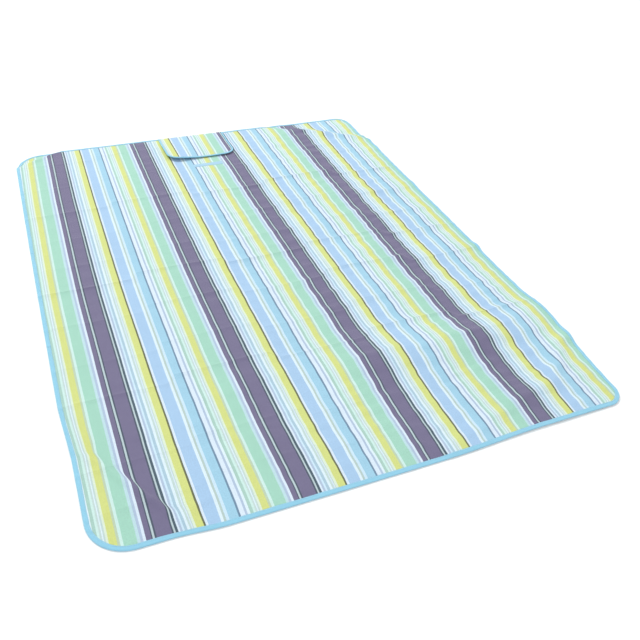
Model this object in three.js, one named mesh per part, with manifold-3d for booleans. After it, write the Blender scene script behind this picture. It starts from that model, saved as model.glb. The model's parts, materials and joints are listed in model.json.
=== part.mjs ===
// Fold-up picnic mat: striped woven cover, foam core and film backing, bound all round with tape,
// with a padded closing flap hinged at the middle of the far edge.
// Millimetres. Origin at the centre of the mat on the floor, +X along the near edge to the right,
// +Y from the near edge to the far edge, +Z up.
import * as THREE from "three";
import { mergeVertices } from "three/addons/utils/BufferGeometryUtils.js";
import Module from "manifold-3d";

// Mat outline
const MAT_WIDTH = 1500;
const MAT_LENGTH = 2000;
const CORNER_RADIUS_LEFT = 100;
const CORNER_RADIUS_RIGHT = 55;

// Mat layers
const BACKING_THICKNESS = 0.5;
const CORE_THICKNESS = 2.7;
const COVER_THICKNESS = 0.7;

// Edge binding of the mat
const TAPE_THICKNESS = 0.5;
const BINDING_WIDTH = 12;

// Cross folds, which divide the mat into equal panels, listed from the far edge to the near edge
const PANEL_NAMES = ["far", "mid_far", "mid_near", "near"];

// Closing flap
const FLAP_WIDTH = 286;
const FLAP_LENGTH = 217;
const FLAP_CORNER_RADIUS = 48;
const FLAP_CENTRE_X = -20;
const FLAP_TILT_DEGREES = 5.2;
const FLAP_LINING_THICKNESS = 0.5;
const FLAP_CORE_THICKNESS = 2;
const FLAP_COVER_THICKNESS = 0.7;
const FLAP_BINDING_WIDTH = 10;
const FLAP_HEM_RADIUS = 3.5;
const FLAP_HEM_SIDES = 16;

// Hook-and-loop closure
const CLOSURE_LENGTH = 120;
const CLOSURE_WIDTH = 25;
const CLOSURE_THICKNESS = 1.2;
const LOOP_TAPE_CENTRE_X = -15;
const LOOP_TAPE_TO_FLAP_EDGE = 44;
const HOOK_TAPE_EDGE_MARGIN = 22;

// Running clearance between neighbouring pieces
const CLEARANCE = 0.3;
// Chords in each quarter circle are twice this number
const ARC_DIVISIONS = 5;
// Length by which a cutting body passes the body it cuts
const CUT_MARGIN = 5;

// Heights of the layers above the floor
const coreBottom = BACKING_THICKNESS + CLEARANCE;
const coreTop = coreBottom + CORE_THICKNESS;
const coverBottom = coreTop + CLEARANCE;
const coverTop = coverBottom + COVER_THICKNESS;
const bindingTop = coverTop + CLEARANCE + TAPE_THICKNESS;
const hemEdgeBottom = TAPE_THICKNESS + CLEARANCE;
const hemEdgeTop = hemEdgeBottom + BACKING_THICKNESS;

// Distances in from the outline
const layerInset = TAPE_THICKNESS + CLEARANCE;
const fieldInset = BINDING_WIDTH + CLEARANCE;
const riserInset = fieldInset + BACKING_THICKNESS;

// Half thicknesses of the flap, measured from its middle plane
const flapHalf = (FLAP_LINING_THICKNESS + FLAP_CORE_THICKNESS + FLAP_COVER_THICKNESS) / 2 + CLEARANCE;
const flapBindingHalf = flapHalf + CLEARANCE + TAPE_THICKNESS;

// The hinge line of the flap runs along the middle of its rolled hem
const hemRadius = Math.max(FLAP_HEM_RADIUS, flapBindingHalf + CLEARANCE);
const hingeY = MAT_LENGTH / 2 - BINDING_WIDTH - CLEARANCE - hemRadius;
const hingeZ = Math.max(coverTop + CLEARANCE + hemRadius, bindingTop + CLEARANCE + flapBindingHalf);

const wasm = await Module();
wasm.setup();

// A closed three.js geometry as a manifold-3d solid.
function solidFrom(geometry) {
  const bare = geometry.clone();
  bare.deleteAttribute("normal");
  bare.deleteAttribute("uv");
  const merged = mergeVertices(bare);
  return new wasm.Manifold(
    new wasm.Mesh({
      numProp: 3,
      vertProperties: merged.getAttribute("position").array,
      triVerts: new Uint32Array(merged.index.array),
    }),
  );
}

// A manifold-3d solid as a three.js geometry.
function geometryFrom(solid) {
  const mesh = solid.getMesh();
  const geometry = new THREE.BufferGeometry();
  geometry.setAttribute("position", new THREE.BufferAttribute(mesh.vertProperties, 3));
  geometry.setIndex(new THREE.BufferAttribute(mesh.triVerts, 1));
  geometry.computeVertexNormals();
  return geometry;
}

// The solid between two heights under a flat outline.
function slab(shape, bottom, top) {
  const geometry = new THREE.ExtrudeGeometry(shape, {
    depth: top - bottom,
    bevelEnabled: false,
    curveSegments: ARC_DIVISIONS,
  });
  geometry.translate(0, 0, bottom);
  return solidFrom(geometry);
}

// A block with the given size and centre.
function block(size, centre) {
  const geometry = new THREE.BoxGeometry(...size);
  geometry.translate(...centre);
  return solidFrom(geometry);
}

// The outline of the mat, moved in from its edge: tighter corners on the right than on the left.
function matOutline(inset) {
  const x = MAT_WIDTH / 2 - inset;
  const y = MAT_LENGTH / 2 - inset;
  const left = CORNER_RADIUS_LEFT - inset;
  const right = CORNER_RADIUS_RIGHT - inset;
  const shape = new THREE.Shape();
  shape.moveTo(x - right, y);
  shape.lineTo(-x + left, y);
  shape.absarc(-x + left, y - left, left, 0.5 * Math.PI, Math.PI, false);
  shape.lineTo(-x, -y + left);
  shape.absarc(-x + left, -y + left, left, Math.PI, 1.5 * Math.PI, false);
  shape.lineTo(x - right, -y);
  shape.absarc(x - right, -y + right, right, 1.5 * Math.PI, 2 * Math.PI, false);
  shape.lineTo(x, y - right);
  shape.absarc(x - right, y - right, right, 0, 0.5 * Math.PI, false);
  return shape;
}

// A frame that follows the mat outline between two insets and two heights.
function matRing(outerInset, innerInset, bottom, top) {
  const outer = slab(matOutline(outerInset), bottom, top);
  const inner = slab(matOutline(innerInset), bottom - CUT_MARGIN, top + CUT_MARGIN);
  return outer.subtract(inner);
}

// The outline of the flap in its own plane: square at the hinge, rounded at the free end.
function flapOutline(inset, hingeEnd) {
  const x = FLAP_WIDTH / 2 - inset;
  const end = -FLAP_LENGTH + inset;
  const radius = FLAP_CORNER_RADIUS - inset;
  const shape = new THREE.Shape();
  shape.moveTo(-x, hingeEnd);
  shape.lineTo(-x, end + radius);
  shape.absarc(-x + radius, end + radius, radius, Math.PI, 1.5 * Math.PI, false);
  shape.lineTo(x - radius, end);
  shape.absarc(x - radius, end + radius, radius, 1.5 * Math.PI, 2 * Math.PI, false);
  shape.lineTo(x, hingeEnd);
  return shape;
}

const fabric = {
  cover: new THREE.MeshStandardMaterial({ color: 0xb9d8de, roughness: 0.9, metalness: 0 }),
  foam: new THREE.MeshStandardMaterial({ color: 0xf2f2ee, roughness: 0.95, metalness: 0 }),
  film: new THREE.MeshStandardMaterial({ color: 0xb8bcc0, roughness: 0.35, metalness: 0.6 }),
  binding: new THREE.MeshStandardMaterial({ color: 0x9fd6ee, roughness: 0.85, metalness: 0 }),
  closure: new THREE.MeshStandardMaterial({ color: 0xa9d8ea, roughness: 1, metalness: 0 }),
};

function mesh(name, solid, material) {
  const piece = new THREE.Mesh(geometryFrom(solid), material);
  piece.name = name;
  return piece;
}

// Woven cover: goes under the upper leaf of the binding.
function coverSheet() {
  return slab(matOutline(layerInset), coverBottom, coverTop);
}

// Foam core: its underside is rebated at the border, where the backing rises into the binding.
function coreSheet() {
  const sheet = slab(matOutline(layerInset), coreBottom, coreTop);
  const rebate = matRing(0, riserInset + CLEARANCE, coreBottom - CUT_MARGIN, hemEdgeTop + CLEARANCE);
  return sheet.subtract(rebate);
}

// Film backing: flat on the floor, and lifted at the border so that its edge lies inside the binding.
function backingSheet() {
  const field = slab(matOutline(fieldInset), 0, BACKING_THICKNESS);
  const border = matRing(layerInset, riserInset, hemEdgeBottom, hemEdgeTop);
  const riser = matRing(fieldInset, riserInset, 0, hemEdgeTop);
  return field.add(border).add(riser);
}

// Binding tape: two leaves and the fold between them, wrapped round the edge of all the layers.
function bindingTape() {
  const lower = matRing(0, BINDING_WIDTH, 0, TAPE_THICKNESS);
  const upper = matRing(0, BINDING_WIDTH, bindingTop - TAPE_THICKNESS, bindingTop);
  const fold = matRing(0, TAPE_THICKNESS, 0, bindingTop);
  return lower.add(upper).add(fold);
}

// The block of space that one panel takes: between two fold lines, or past the edge at either end.
function panelSpace(index) {
  const pitch = MAT_LENGTH / PANEL_NAMES.length;
  const farLine = MAT_LENGTH / 2 - pitch * index;
  const nearLine = farLine - pitch;
  const isFarEnd = index === 0;
  const isNearEnd = index === PANEL_NAMES.length - 1;
  const high = isFarEnd ? farLine + CUT_MARGIN : farLine - CLEARANCE / 2;
  const low = isNearEnd ? nearLine - CUT_MARGIN : nearLine + CLEARANCE / 2;
  const size = [MAT_WIDTH + 2 * CUT_MARGIN, high - low, bindingTop + 2 * CUT_MARGIN];
  return block(size, [0, (low + high) / 2, bindingTop / 2]);
}

function matPanels() {
  const group = new THREE.Group();
  const cover = coverSheet();
  const core = coreSheet();
  const backing = backingSheet();
  const binding = bindingTape();
  const left = block([MAT_WIDTH, 2 * MAT_LENGTH, MAT_WIDTH], [-MAT_WIDTH / 2, 0, 0]);
  PANEL_NAMES.forEach((name, index) => {
    const space = panelSpace(index);
    const strips = binding.intersect(space);
    const isEnd = index === 0 || index === PANEL_NAMES.length - 1;
    group.add(mesh("cover_" + name, cover.intersect(space), fabric.cover));
    group.add(mesh("core_" + name, core.intersect(space), fabric.foam));
    group.add(mesh("backing_" + name, backing.intersect(space), fabric.film));
    if (isEnd) {
      group.add(mesh("binding_" + name, strips, fabric.binding));
    } else {
      group.add(mesh("binding_" + name + "_left", strips.intersect(left), fabric.binding));
      group.add(mesh("binding_" + name + "_right", strips.subtract(left), fabric.binding));
    }
  });
  return group;
}

// Loop half of the closure, sewn on the cover in front of the free end of the flap.
function loopTape() {
  const tilt = THREE.MathUtils.degToRad(FLAP_TILT_DEGREES);
  const flapEdgeY = hingeY - FLAP_LENGTH * Math.cos(tilt);
  const y = flapEdgeY - LOOP_TAPE_TO_FLAP_EDGE - CLOSURE_WIDTH / 2;
  const z = coverTop + CLEARANCE + CLOSURE_THICKNESS / 2;
  const solid = block([CLOSURE_LENGTH, CLOSURE_WIDTH, CLOSURE_THICKNESS], [LOOP_TAPE_CENTRE_X, y, z]);
  return mesh("loop_tape", solid, fabric.closure);
}

// Tape round the sides and the free end of the flap, open at the hinge end.
function flapBindingTape(hingeEnd) {
  const openEnd = hingeEnd + CUT_MARGIN;
  const cut = CUT_MARGIN + flapBindingHalf;
  const body = slab(flapOutline(0, hingeEnd), -flapBindingHalf, flapBindingHalf);
  const field = slab(flapOutline(FLAP_BINDING_WIDTH, openEnd), -cut, cut);
  const innerHalf = flapBindingHalf - TAPE_THICKNESS;
  const channel = slab(flapOutline(TAPE_THICKNESS, openEnd), -innerHalf, innerHalf);
  return body.subtract(field).subtract(channel);
}

// The flap in its own frame: hinge line on X, free end towards -Y, middle plane on Z = 0.
function flap() {
  const group = new THREE.Group();
  const hingeEnd = -hemRadius - CLEARANCE;
  const layer = flapOutline(layerInset, hingeEnd);
  const liningTop = -flapHalf + FLAP_LINING_THICKNESS;
  const coreLow = liningTop + CLEARANCE;
  const coreHigh = coreLow + FLAP_CORE_THICKNESS;
  const coverLow = coreHigh + CLEARANCE;
  const hem = new THREE.CylinderGeometry(hemRadius, hemRadius, FLAP_WIDTH - 2 * TAPE_THICKNESS, FLAP_HEM_SIDES);
  hem.rotateZ(0.5 * Math.PI);
  const hookY = -FLAP_LENGTH + HOOK_TAPE_EDGE_MARGIN + CLOSURE_WIDTH / 2;
  const hookZ = -flapHalf - CLEARANCE - CLOSURE_THICKNESS / 2;
  const hook = block([CLOSURE_LENGTH, CLOSURE_WIDTH, CLOSURE_THICKNESS], [0, hookY, hookZ]);

  group.add(mesh("flap_lining", slab(layer, -flapHalf, liningTop), fabric.film));
  group.add(mesh("flap_core", slab(layer, coreLow, coreHigh), fabric.foam));
  group.add(mesh("flap_cover", slab(layer, coverLow, coverLow + FLAP_COVER_THICKNESS), fabric.cover));
  group.add(mesh("flap_binding", flapBindingTape(hingeEnd), fabric.binding));
  group.add(mesh("flap_hem", solidFrom(hem), fabric.binding));
  group.add(mesh("hook_tape", hook, fabric.closure));

  group.position.set(FLAP_CENTRE_X, hingeY, hingeZ);
  group.rotation.x = -THREE.MathUtils.degToRad(FLAP_TILT_DEGREES);
  return group;
}

const mat = new THREE.Group();
mat.add(matPanels());
mat.add(loopTape());
mat.add(flap());

export default mat;
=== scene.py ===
"""Looks of the fold-up picnic mat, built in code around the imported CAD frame.

Metres, in the row frame: origin at the centre of the mat on the floor, +X right along the near edge,
+Y towards the far edge that carries the closing flap, +Z up.

Every layer of the mat is a grid of points in flat coordinates (p, q), the place that a point of the cloth
had before it was laid down. place() carries them to the floor plan and ground() gives the height that the
creases and rolls of the laid mat lift them to, so all layers, the binding and its stitches move together.
"""

import json
import math
from collections import namedtuple

import bpy
import numpy as np
from mathutils import Matrix, Vector


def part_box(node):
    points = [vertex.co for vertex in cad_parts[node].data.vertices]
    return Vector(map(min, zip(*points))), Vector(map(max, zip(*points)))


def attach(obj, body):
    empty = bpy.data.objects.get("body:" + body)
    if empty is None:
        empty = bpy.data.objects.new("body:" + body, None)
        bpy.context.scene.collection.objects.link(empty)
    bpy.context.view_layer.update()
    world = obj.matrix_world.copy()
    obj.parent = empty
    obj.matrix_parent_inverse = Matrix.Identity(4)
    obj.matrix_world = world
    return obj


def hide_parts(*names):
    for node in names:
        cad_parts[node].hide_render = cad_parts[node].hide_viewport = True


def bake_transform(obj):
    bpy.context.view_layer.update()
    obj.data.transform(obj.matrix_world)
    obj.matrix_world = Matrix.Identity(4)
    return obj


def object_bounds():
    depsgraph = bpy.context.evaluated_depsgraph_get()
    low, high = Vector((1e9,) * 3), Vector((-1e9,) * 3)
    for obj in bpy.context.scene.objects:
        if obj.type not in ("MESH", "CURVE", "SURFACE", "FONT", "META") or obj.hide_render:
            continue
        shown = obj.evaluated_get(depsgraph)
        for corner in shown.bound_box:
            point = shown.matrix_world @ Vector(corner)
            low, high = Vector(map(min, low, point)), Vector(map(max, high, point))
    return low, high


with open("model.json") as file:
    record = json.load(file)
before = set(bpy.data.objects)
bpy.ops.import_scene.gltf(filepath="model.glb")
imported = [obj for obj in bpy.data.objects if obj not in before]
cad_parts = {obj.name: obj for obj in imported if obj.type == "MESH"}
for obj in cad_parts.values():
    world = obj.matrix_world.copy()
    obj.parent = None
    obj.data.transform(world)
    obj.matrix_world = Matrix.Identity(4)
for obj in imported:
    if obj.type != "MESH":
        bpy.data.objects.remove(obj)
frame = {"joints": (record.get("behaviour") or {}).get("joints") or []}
cad_low, cad_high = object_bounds()

MM = 0.001

# ---------------------------------------------------------------- sizes read from the frame

HALF_WIDTH = cad_high.x
HALF_LENGTH = cad_high.y
COVER_LOW, COVER_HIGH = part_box("cover_mid_far")
BINDING_LOW, BINDING_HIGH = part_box("binding_mid_far_left")
FLAP_LOW, FLAP_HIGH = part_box("flap_binding")
LOOP_LOW, LOOP_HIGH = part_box("loop_tape")
HOOK_LOW, HOOK_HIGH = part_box("hook_tape")

JOINT_Y = {joint["name"]: joint["pos_m"][1] for joint in frame["joints"]}
FOLD_FAR = JOINT_Y["fold_far"]
FOLD_MID = JOINT_Y["fold_mid"]
FOLD_NEAR = JOINT_Y["fold_near"]
HINGE_Y = JOINT_Y["flap_hinge"]
# The mat is cut for bending halfway between its fold lines, where nothing bends.
CUT_FAR = (FOLD_FAR + FOLD_MID) / 2
CUT_NEAR = (FOLD_NEAR + FOLD_MID) / 2

# ---------------------------------------------------------------- sizes chosen here

CORNER_LEFT = 0.100
CORNER_RIGHT = 0.055
TAPE_WIDTH = BINDING_HIGH.x - BINDING_LOW.x
TAPE_THICKNESS = 0.55 * MM
EDGE_INSET = 0.8 * MM
COVER_THICKNESS = COVER_HIGH.z - COVER_LOW.z
FULL_STACK = COVER_HIGH.z
# The seam squeezes the layers at the edge, and they puff up to full height this far in.
EDGE_STACK = 3.1 * MM
PUFF_WIDTH = 0.032

GRID_COLUMN = 8.0 * MM
GRID_ROW = 3.2 * MM
FOLD_ROW = 1.0 * MM

# Half the stretch of cloth that bends at a fold: round the loose roll of a fold that closes striped side
# in, where a longer one would press the two rolls into each other, or tight round the layers of the one
# that closes backing side in.
ROLL_REACH = 0.0270
TIGHT_REACH = 0.0125


# ---------------------------------------------------------------- small helpers


def smooth(t):
    """0 below 0, 1 above 1, and a smooth rise between."""
    t = np.clip(t, 0.0, 1.0)
    return t * t * (3.0 - 2.0 * t)


def bump(distance, half_width):
    """A rounded ridge of height 1."""
    return np.exp(-((distance / half_width) ** 2))


def pressed(distance, half_width):
    """A pressed crease of height 1: a sharp crest between hollow flanks."""
    crest_radius = 0.12 * half_width
    return np.exp(-(np.hypot(distance, crest_radius) - crest_radius) / half_width)


def ripples(x, y, seed, count, shortest, longest, heading, spread):
    """Seeded sum of sine waves, about 1 high, whose crests lie near the heading (0 = crests along X)."""
    rng = np.random.default_rng(seed)
    total = np.zeros_like(x)
    weight = 0.0
    for _ in range(count):
        wave = shortest * (longest / shortest) ** rng.random()
        angle = heading + spread * (rng.random() - 0.5)
        phase = 2.0 * math.pi * rng.random()
        size = wave / longest
        along = x * math.sin(angle) + y * math.cos(angle)
        total += size * np.sin(2.0 * math.pi * along / wave + phase)
        weight += size * size / 2.0
    return total / math.sqrt(weight) / 2.0


# ---------------------------------------------------------------- how the mat lies

# Where the mat was folded lengthwise in storage; each band's cross creases sit a little off the next one's.
BAND_EDGES = (-0.45, -0.15, 0.15, 0.45)
BAND_OFFSETS = (-0.012, 0.018, -0.014, 0.020, -0.022)
# Pressed cross creases: place along Y, height on the left and on the right in mm.
CREASES = (
    (0.885, 1.8, 0.6),
    (0.685, 1.8, 2.0),
    (0.490, 3.4, 7.0),
    (0.312, 1.6, 3.4),
    (0.145, 1.6, 2.4),
    (0.012, 4.2, 5.0),
    (-0.165, 2.0, 5.0),
    (-0.352, 1.6, 3.4),
    (-0.497, 3.4, 5.5),
    (-0.735, 2.4, 0.8),
    (-0.865, 1.6, 0.6),
)
CREASE_HALF_WIDTH = 0.0095
# Ridges left by the lengthwise folds.
RIDGE_HEIGHT = 0.9 * MM
RIDGE_HALF_WIDTH = 0.016
# The gentle bow of the cloth between two cross creases: the place of one of them and their pitch, and the
# bow's height on the left and how much more it has on the right, in mm.
BOW_START = 0.012
BOW_PITCH = 0.245
BOW_LEFT = 0.8
BOW_GAIN = 1.8
# Wrinkles: height on the left and how much more on the right in mm, seed, number of waves, shortest and
# longest wave, and spread of their headings.
WRINKLES = (
    (0.7, 1.3, 11, 22, 0.07, 0.30, 0.9),
    (0.2, 1.5, 13, 30, 0.028, 0.08, 0.8),
)
UNEVENNESS = 0.30 * MM
# Raised rolls and puckers: crest points as (x, y, height in mm), and half width in mm.
ROLLS = (
    (((-0.10, -0.600, 0.0), (0.10, -0.606, 18.0), (0.30, -0.614, 22.0), (0.50, -0.612, 21.0),
      (0.64, -0.585, 17.0), (0.76, -0.560, 13.0)), 78.0),
    (((0.17, -0.965, 3.0), (0.32, -0.918, 7.5), (0.45, -0.888, 9.0), (0.55, -0.865, 9.0),
      (0.62, -0.805, 9.0), (0.69, -0.722, 11.0), (0.76, -0.690, 9.0)), 27.0),
    (((0.37, 0.990, 2.0), (0.48, 0.900, 8.0), (0.545, 0.852, 11.0), (0.625, 0.800, 11.0),
      (0.69, 0.772, 10.0), (0.76, 0.742, 9.0)), 19.0),
    (((-0.745, -0.650, 1.0), (-0.67, -0.745, 5.0), (-0.575, -0.890, 6.0), (-0.53, -0.960, 0.5)), 8.0),
    (((-0.735, 0.880, 1.5), (-0.68, 0.925, 5.0), (-0.62, 0.958, 5.0), (-0.56, 0.992, 1.0)), 9.0),
    (((-0.47, -0.640, 0.0), (-0.405, -0.700, 4.0), (-0.34, -0.770, 3.0), (-0.30, -0.830, 0.0)), 13.0),
    (((-0.55, -0.965, 0.5), (-0.49, -0.925, 3.0), (-0.42, -0.905, 0.0)), 12.0),
    (((0.20, -1.005, 0.0), (0.36, -0.990, 1.2), (0.60, -0.975, 1.8), (0.76, -0.940, 1.2)), 42.0),
    (((0.62, -0.140, 0.0), (0.70, -0.165, 5.0), (0.76, -0.170, 7.0)), 22.0),
    (((0.60, 0.640, 0.0), (0.68, 0.655, 3.0), (0.76, 0.660, 3.5)), 26.0),
    (((0.64, 0.330, 0.0), (0.71, 0.322, 2.5), (0.76, 0.318, 3.0)), 22.0),
)


def crest(x, y, points, half_width):
    """Height of a roll whose crest follows the points, in metres."""
    height = np.zeros_like(x)
    for (ax, ay, ah), (bx, by, bh) in zip(points[:-1], points[1:]):
        dx, dy = bx - ax, by - ay
        t = np.clip(((x - ax) * dx + (y - ay) * dy) / (dx * dx + dy * dy), 0.0, 1.0)
        away = np.hypot(x - ax - t * dx, y - ay - t * dy)
        height = np.maximum(height, (ah + t * (bh - ah)) * MM * bump(away, half_width * MM))
    return height


def band_offset(x):
    """How far the cross creases sit off their line in the band that x is in."""
    offset = np.full_like(x, BAND_OFFSETS[0])
    for edge, before, after in zip(BAND_EDGES, BAND_OFFSETS[:-1], BAND_OFFSETS[1:]):
        offset += (after - before) * smooth((x - edge) / 0.03 + 0.5)
    return offset


def crease_line(x, y):
    """The Y that a point has when every band's cross creases are slid onto one straight line."""
    return y - band_offset(x) - 0.0025 * np.sin(13.0 * x + 5.0 * y)


def rightness(x):
    return smooth((x + HALF_WIDTH) / (2 * HALF_WIDTH))


def crease_heights(x):
    """Place along Y and height of each cross crease."""
    return [(place_y, (low + (high - low) * rightness(x)) * MM) for place_y, low, high in CREASES]


def ground(x, y):
    """Height of the underside of the mat above the floor."""
    right = rightness(x)
    height = np.zeros_like(x)
    line = crease_line(x, y)
    for place_y, tall in crease_heights(x):
        height += tall * pressed(line - place_y, CREASE_HALF_WIDTH)
    for edge in BAND_EDGES:
        height += RIDGE_HEIGHT * bump(x - edge - 0.004 * np.sin(9.0 * y), RIDGE_HALF_WIDTH)
    bow = np.sin(math.pi * (line - BOW_START) / BOW_PITCH) ** 2
    height += (BOW_LEFT + BOW_GAIN * right) * MM * bow
    for low, gain, seed, count, shortest, longest, spread in WRINKLES:
        wrinkle = ripples(x, y, seed, count, shortest, longest, 0.0, spread)
        height += (low + gain * right) * MM * np.maximum(0.5 + wrinkle, 0.0)
    height += UNEVENNESS * (1.0 + ripples(x, y, 12, 40, 0.022, 0.06, 0.4, 3.0))
    # The right and near edges are pulled taut by their binding.
    height *= 1.0 - 0.6 * smooth((x - 0.66) / 0.08)
    height *= 1.0 - 0.6 * smooth((-y - 0.92) / 0.07)
    for points, half_width in ROLLS:
        height += crest(x, y, points, half_width)
    height *= 1.0 - 0.5 * smooth((y - 0.90) / 0.09)
    # The flap's own weight keeps the mat flat under it.
    under_flap = smooth((0.20 - np.abs(x)) / 0.05) * smooth((y - 0.70) / 0.05)
    return height * (1.0 - 0.85 * under_flap)


# A tuck: to the left of the line from one point to another, the cloth is pulled by the given step. The pull
# builds up over the first width between the two points and over the second beyond them.
TUCKS = (
    ((0.43, 0.935), (0.74, 0.745), (-0.020, -0.008), 0.032, 0.032),
    ((-0.560, -0.910), (-0.690, -0.700), (0.010, 0.009), 0.030, 0.130),
    ((-0.725, 0.915), (-0.600, 0.985), (0.006, -0.014), 0.030, 0.030),
)
TUCK_FADE = 0.05
# How the edges stray from a true rectangle: the left and near ones bow out, most at their middle, and the
# right and far ones are drawn in.
LEFT_BOW = 0.004
NEAR_BOW = 0.003
RIGHT_PULL = 0.008
FAR_PULL = 0.004
# How far the near right corner is pulled to the left and towards the far edge.
CORNER_PULL = (0.012, 0.010)


def place(p, q):
    """Flat coordinates to the floor plan: the edges stray, and tucks pull the corners in."""
    x = p.copy()
    y = q.copy()
    across = p / HALF_WIDTH
    along = q / HALF_LENGTH
    mid = 1.0 - along**2
    left = smooth(-across)
    right = smooth(across)
    x -= left * LEFT_BOW * mid
    x -= right * (RIGHT_PULL + 0.003 * bump(q - 0.5, 0.3) - 0.007 * bump(q + 0.62, 0.14))
    x -= right * CORNER_PULL[0] * smooth((-along - 0.70) / 0.26)
    y -= FAR_PULL * smooth(along)
    y -= NEAR_BOW * smooth(-along) * (1.0 - across**2)
    y += CORNER_PULL[1] * smooth((p - 0.15) / 0.3) * smooth((-q - 0.75) / 0.2)
    y += 0.002 * smooth((-q - 0.85) / 0.12)
    for (ax, ay), (bx, by), (step_x, step_y), narrow, wide in TUCKS:
        dx, dy = bx - ax, by - ay
        size = math.hypot(dx, dy)
        beyond = (dx * (y - ay) - dy * (x - ax)) / size
        along = (dx * (x - ax) + dy * (y - ay)) / size
        outside = smooth(np.maximum(-along, along - size) / TUCK_FADE)
        share = smooth(beyond / (narrow + (wide - narrow) * outside) + 0.5)
        x += share * step_x
        y += share * step_y
    return x, y


# How far the woven stripes have crept to the right of a true cut, in mm, judged at these places.
DRIFT_COLUMNS = (-0.65, -0.30, 0.10, 0.42, 0.70)
DRIFT_ROWS = (-0.96, -0.70, -0.40, 0.0, 0.50, 0.95)
DRIFT = (
    (4, 10, 8, 16, 10),
    (2, 3, 7, 3, 1),
    (0, -2, 4, 6, 3),
    (-3, -6, 0, 3, 3),
    (0, -6, -7, 0, 1),
    (5, -6, -11, -1, 9),
)


def eased(value, places):
    """Weights of the two places on either side of the value, easing from one to the next."""
    weights = np.zeros((len(places),) + value.shape)
    value = np.clip(value, places[0], places[-1])
    for k, (low, high) in enumerate(zip(places[:-1], places[1:])):
        inside = (value >= low) & (value <= high)
        share = smooth((value - low) / (high - low))
        weights[k] = np.where(inside, 1.0 - share, weights[k])
        weights[k + 1] = np.where(inside, share, weights[k + 1])
    return weights


def stripe_drift(p, q):
    """How far the stripe at a flat point lies to the right of its true place."""
    drift = np.einsum("c...,r...,rc->...", eased(p, DRIFT_COLUMNS), eased(q, DRIFT_ROWS), np.array(DRIFT))
    # Small puckers shift neighbouring stripes together, more on the right.
    puckers = (0.1 + 1.5 * rightness(p) ** 1.5) * ripples(q, p, 15, 26, 0.035, 0.110, math.pi / 2, 0.9)
    return MM * (drift + puckers)


def distance_in(dx, dy, radius):
    """Distance in from a rounded corner, from the distances to its two sides."""
    in_corner = (dx < radius) & (dy < radius)
    round_distance = radius - np.hypot(radius - dx, radius - dy)
    return np.where(in_corner, round_distance, np.minimum(dx, dy))


def edge_distance(p, q):
    """Distance in from the mat's outline, along the shortest way."""
    radius = np.where(p < 0, CORNER_LEFT, CORNER_RIGHT)
    return distance_in(HALF_WIDTH - np.abs(p), HALF_LENGTH - np.abs(q), radius)


def stack(distance):
    """Height of the cover's face over the mat's underside, squeezed at the edge."""
    puff = smooth(distance / PUFF_WIDTH)
    return EDGE_STACK + (FULL_STACK - EDGE_STACK) * puff


def lay(p, q, local_z):
    """Points of a layer in the row frame, from flat coordinates and height over the mat's underside."""
    x, y = place(p, q)
    return np.stack([x, y, ground(x, y) + local_z], axis=-1)


# ---------------------------------------------------------------- mesh building


def show(name, data):
    """A new object in the scene."""
    obj = bpy.data.objects.new(name, data)
    bpy.context.scene.collection.objects.link(obj)
    return obj


def add_object(name, points, faces, uvs, material, press=None, sharp_edges=None):
    """A smooth-shaded closed mesh whose faces are arrays of corner numbers, one array for each face size.

    uvs and press are one (u, v) for each point, written to the maps named flat and press.
    """
    if signed_volume(points, faces) < 0:
        faces = [f[:, ::-1] for f in faces]
    corners = np.concatenate([f.ravel() for f in faces]).astype(np.int32)
    sizes = np.concatenate([np.full(len(f), f.shape[1]) for f in faces]).astype(np.int32)
    mesh = bpy.data.meshes.new(name)
    mesh.vertices.add(len(points))
    mesh.vertices.foreach_set("co", np.asarray(points, np.float32).ravel())
    mesh.loops.add(len(corners))
    mesh.loops.foreach_set("vertex_index", corners)
    mesh.polygons.add(len(sizes))
    mesh.polygons.foreach_set("loop_start", np.concatenate([[0], np.cumsum(sizes)[:-1]]).astype(np.int32))
    mesh.update(calc_edges=True)
    mesh.validate()
    mesh.polygons.foreach_set("use_smooth", np.ones(len(mesh.polygons), bool))
    for map_name, values in (("flat", uvs), ("press", press)):
        if values is not None:
            layer = mesh.uv_layers.new(name=map_name)
            layer.data.foreach_set("uv", np.asarray(values, np.float32)[corners].ravel())
    if sharp_edges is not None:
        ends = np.zeros(len(mesh.edges) * 2, np.int32)
        mesh.edges.foreach_get("vertices", ends)
        mesh.edges.foreach_set("use_edge_sharp", sharp_edges(ends.reshape(-1, 2)))
    mesh.materials.append(material)
    return show(name, mesh)


def signed_volume(points, faces):
    """Volume inside the faces, negative when they point inwards."""
    total = 0.0
    for f in faces:
        for k in range(1, f.shape[1] - 1):
            a, b, c = points[f[:, 0]], points[f[:, k]], points[f[:, k + 1]]
            total += np.einsum("ij,ij->", a, np.cross(b, c))
    return total / 6.0


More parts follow.
